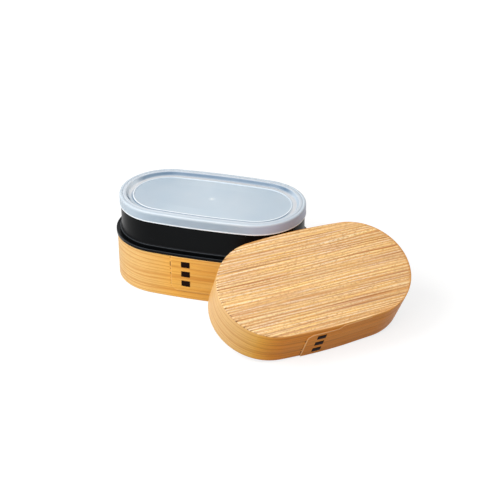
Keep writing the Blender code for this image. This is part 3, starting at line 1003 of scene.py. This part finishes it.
def finish_inner_lid(item):
    """Add the gate mark in the middle of the milky lid, and mark where its tones lie, painted light and
    painted shade among them.
    """
    top = inner_high.z
    panel = top - panel_drop
    skirt = lip_grow - lip_width
    slope_end = rim_width + rim_slope
    bm = bmesh.new()
    bm.from_mesh(item.data)
    made = bmesh.ops.create_uvsphere(bm, u_segments=24, v_segments=12, radius=gate_radius)
    for vert in made["verts"]:
        vert.co.z = panel + vert.co.z * gate_flatness
    bm.to_mesh(item.data)
    bm.free()
    soften(item.data)

    def inset_at(co):
        """How far inside the skirt's face a point lies."""
        return skirt - grow_at(co)

    def on_slope(inset, fade_from, fade_to):
        """1 on the slope from the rim down to the panel, fading between two insets at its foot."""
        start = ease(rim_width - 0.0002, rim_width + 0.0006, inset)
        return start * ease(fade_from, fade_to, inset)

    def backed(co):
        """Painted deep blue, where the black tray shows through and where shade falls: strong on the slope
        and in the front groove, weaker on the skirt and elsewhere.
        """
        inset = inset_at(co)
        above = co.z - inner_low.z
        if above < lip_height * 1.1:
            return 0.0
        out = outward(co)
        on_skirt = inset < skirt_wall / 2
        slope = on_slope(inset, slope_end + 0.0009, rim_width + rim_slope * 0.6)
        slope *= ease(-1.005, -0.90, out.x) * (1 - 0.22 * ease(-0.2, -0.7, out.x))
        slope *= 1 - 0.75 * ease(0.45, 0.85, out.x)
        groove = ease(panel_line_inset - 0.0022, panel_line_inset - 0.0010, inset)
        groove *= ease(panel_line_inset + 0.0002, panel_line_inset, inset)
        groove *= ease(0.2, -0.5, out.y)
        side = ease(top - 0.0012, top - 0.0030, co.z) * on_skirt
        side *= (0.4 + 0.6 * ease(-0.080, -0.005, co.x)) * (1 - 0.9 * ease(0.03, 0.075, co.x))
        dip = ease(0.0010, 0.0003, abs(inset - rim_line_inset)) * (co.z > top - 0.0006)
        fold = ease(lip_height * 2.4, lip_height * 1.3, above) * on_skirt
        ends = ease(0.010, 0.060, abs(co.x)) * (inset > panel_line_inset + panel_line_width)
        ends = 0.03 + ends * (0.20 if co.x < 0 else 0.12)
        return max(slope, 0.8 * groove, 0.44 * side, 0.50 * fold, 0.24 * dip, ends)

    def thick(co):
        """Greyer and paler: the crown of the rim, most of all inside its fine line."""
        inset = inset_at(co)
        crown = ease(top - 0.0024, top - 0.0008, co.z)
        crown *= ease(rim_width + 0.0008, rim_width, inset)
        return crown * (0.45 + 0.55 * ease(rim_line_inset - 0.0004, rim_line_inset + 0.0004, inset))

    def warm(co):
        """Warmer and paler: the panel outside its raised line, apart from the front; painted light."""
        inset = inset_at(co)
        floor = ease(rim_width + rim_slope * 0.7, slope_end + 0.0006, inset)
        floor *= ease(panel_line_inset, panel_line_inset - 0.0008, inset)
        return floor * ease(-0.6, -0.1, outward(co).y) * (co.z > panel - skin / 2)

    def bright(co):
        """Nearly white painted highlights: the panel's raised line, brightest at the front, the skirt's
        lip, the gate mark, and light through the slope's left end.
        """
        inset = inset_at(co)
        out = outward(co)
        line = ease(panel + 0.0001, panel + panel_line_height * 0.8, co.z)
        line *= ease(panel_line_inset - 0.0012, panel_line_inset - 0.0006, inset)
        line *= 0.35 + 0.65 * ease(0.3, -0.5, out.y)
        shine = on_slope(inset, slope_end + 0.0006, slope_end)
        shine *= ease(0.82, 0.98, -out.x) * (co.z > panel - skin / 2)
        lip = ease(lip_height * 1.2, lip_height, co.z - inner_low.z)
        gate = 0.6 * (co.z > panel and math.hypot(co.x, co.y) < gate_radius * 1.1)
        return max(line, lip, gate, 0.7 * shine)

    def cool(co):
        """Bluer: the right end of the skirt, painted cool light."""
        below = ease(top, top - 0.0020, co.z)
        return ease(0.030, 0.075, co.x) * (inset_at(co) < skirt_wall / 2) * below

    for rule in (backed, cool, thick, bright, warm):
        mark(item.data, rule.__name__, rule)


# Stage

def seen_directly(tree):
    """1 for rays that show the background: from the camera, in a reflection or through a clear piece."""
    path = add_node(tree, "ShaderNodeLightPath").outputs
    seen = calculate("MAXIMUM", path["Is Camera Ray"], path["Is Transmission Ray"])
    return calculate("MAXIMUM", seen, path["Is Glossy Ray"])


def add_stage():
    """A plain floor: grey in the light it throws back, and white where a ray shows it."""
    half_size = 4.0
    grey = 0.31
    below = 0.0003
    near, far = 0.3, 1.0
    near_glow, far_glow = 0.76, 1.0
    bm = bmesh.new()
    bmesh.ops.create_grid(bm, x_segments=1, y_segments=1, size=half_size)
    floor = add_object("floor", mesh_from(bm, "floor"))
    material, tree, shader = start_material("floor_paper", 0.9)
    distance = length_of(add_node(tree, "ShaderNodeTexCoord").outputs["Object"])
    glow = remap(distance, near, far, near_glow, far_glow, smooth=True)
    feed_named(shader, Base_Color=(grey, grey, grey, 1.0), Specular_IOR_Level=0.0,
               Emission_Color=(1.0, 1.0, 1.0, 1.0), Emission_Strength=times(seen_directly(tree), glow))
    floor.data.materials.append(material)
    floor.location.z = -below


def add_lamp(name, place, target, size, power, colour=(1.0, 1.0, 1.0)):
    data = bpy.data.lights.new(name, "AREA")
    data.shape = "DISK"
    data.size = size
    data.energy = power
    data.color = colour
    lamp = add_object(name, data)
    lamp.location = place
    lamp.rotation_euler = (Vector(place) - Vector(target)).to_track_quat("Z", "Y").to_euler()


def add_light():
    """A white room, dimmer in its light than where a ray shows it, and two round lamps."""
    room_light = 0.50
    world = bpy.data.worlds.new("studio")
    bpy.context.scene.world = world
    world.use_nodes = True
    tree = world.node_tree
    shader = tree.nodes["Background"]
    feed_named(shader, Color=(1.0, 1.0, 1.0, 1.0),
               Strength=remap(seen_directly(tree), 0.0, 1.0, room_light, 1.0))
    middle = (0.04, -0.03, 0.04)
    add_lamp("key", place=(-0.75, -0.75, 1.10), target=middle, size=0.9, power=15.0,
             colour=(1.0, 0.99, 0.975))
    add_lamp("fill", place=(-0.15, -1.15, 0.85), target=middle, size=0.8, power=8.0)


def add_camera():
    """A long lens at the angle of the photograph."""
    azimuth = math.radians(15.585)
    elevation = math.radians(29.484)
    distance = 1.3229
    aim = Vector((0.0304, 0.0196, 0.0189))
    back = Vector((math.sin(azimuth) * math.cos(elevation), -math.cos(azimuth) * math.cos(elevation),
                   math.sin(elevation)))
    data = bpy.data.cameras.new("camera")
    data.lens = 101.33
    data.sensor_width = 36.0
    camera = add_object("camera", data)
    camera.location = aim + back * distance
    camera.rotation_euler = back.to_track_quat("Z", "Y").to_euler()
    bpy.context.scene.camera = camera


# The pieces, each riding the body that carries the node it stands for

def stand_for(item, node, body):
    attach(item, body)
    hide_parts(node)


def lower_sapwood(point, out):
    """Painted light: paler wood at the left end of the lower band, fading to the right and round the back.
    """
    return ease(0.03, -0.088, point.x) * ease(0.95, -0.25, out.y)


def lid_sapwood(_, out):
    """Painted light: paler wood at the left end of the lid's band."""
    return ease(0.1, 1.1, -out.x)


def flange_edge(co):
    """1 along the top of the liner's flange, where a highlight is painted."""
    return ease(0.0005, 0.0001, liner_high.z - co.z)


def ridge_edge(co):
    """1 along the top of the ridge round the tray's foot, where a highlight is painted."""
    below = abs(co.z - (tray_low.z + tray_plug + foot_height))
    outside = ease(foot_grow - 0.0007, foot_grow - 0.0003, grow_at(co))
    return ease(0.0007, 0.0002, below) * outside


def add_pieces():
    grain_group = make_wood_grain()
    skin_group = make_moulded_skin()
    moulding = make_moulding_tree()
    raised = make_raised_grain_tree()
    stitches = make_stitch_tree()
    bark = make_bark("bark", grain_group)
    black = make_black_plastic("black_moulding", skin_group)
    milky = make_milky_plastic("milky_moulding", skin_group)

    lower_wood = make_band_wood(
        "lower_band_wood", grain_group, seed=1.7, ring_share=0.90, edge_highlight_share=0.28,
        pale=(0.80, 0.425, 0.102), deep=(0.715, 0.312, 0.052),
        golden=(0.865, 0.460, 0.095), blond=(0.815, 0.535, 0.222))
    strip = bent_strip("lower_strip", lower, lower_sapwood, lower_wood)
    stand_for(strip, "lower_band", "lower_tier")
    lacing = laced("lower_stitches", lower, stitches, bark)
    stand_for(lacing, "lower_bark_lacing", "lower_tier")
    bottom_wood = make_plate_wood("bottom_board_wood", grain_group, seed=9.1)
    under = Matrix.Translation((0, 0, bottom_plate)) @ Matrix.Rotation(math.pi, 4, "X")
    bottom = board(
        "bottom_board", grow=rabbet - clearance - band_wall, thickness=bottom_plate, lip=bottom_lip,
        inset=0.0, depth=bottom_grain_depth, seed=4.0, tree=raised, material=bottom_wood, place=under)
    stand_for(bottom, "lower_bottom_plate", "lower_tier")

    liner = moulded("liner", liner_profile(), moulding, black)
    mark(liner.data, "edge", flange_edge)
    stand_for(liner, "lower_liner", "lower_tier")
    tray = moulded("tray", tray_profile(), moulding, black)
    mark(tray.data, "edge", ridge_edge)
    stand_for(tray, "upper_tray", "upper_tier")
    cover = moulded("inner_cover", inner_lid_profile(), moulding, milky)
    finish_inner_lid(cover)
    stand_for(cover, "inner_lid", "inner_cover")

    # the lid band's wood is deeper and redder than the lower band's: painted shade for its front, which
    # faces down away from the light
    lid_wood = make_band_wood(
        "lid_band_wood", grain_group, seed=5.3, ring_share=0.85, edge_highlight_share=0.75,
        pale=(0.93, 0.350, 0.034), deep=(0.84, 0.262, 0.020),
        golden=(0.97, 0.510, 0.088), blond=(0.765, 0.490, 0.218))
    strip = bent_strip("lid_strip", lid, lid_sapwood, lid_wood)
    stand_for(strip, "lid_band", "outer_lid")
    lacing = laced("lid_stitches", lid, stitches, bark)
    stand_for(lacing, "lid_bark_lacing", "outer_lid")
    plate_wood = make_plate_wood("lid_board_wood", grain_group, seed=2.4)
    on_top = lid_frame @ Matrix.Translation((0, 0, lid_height - lid_plate))
    plate = board(
        "lid_board", grow=lid_grow - lid_board_inset, thickness=lid_plate, lip=lid_lip - lid_lip_gap,
        inset=lid_wall - lid_step_play, depth=grain_depth, seed=7.0, tree=raised, material=plate_wood,
        place=on_top)
    stand_for(plate, "lid_top_plate", "outer_lid")


add_pieces()
add_stage()
add_light()
add_camera()
bpy.context.scene.view_settings.view_transform = "Standard"
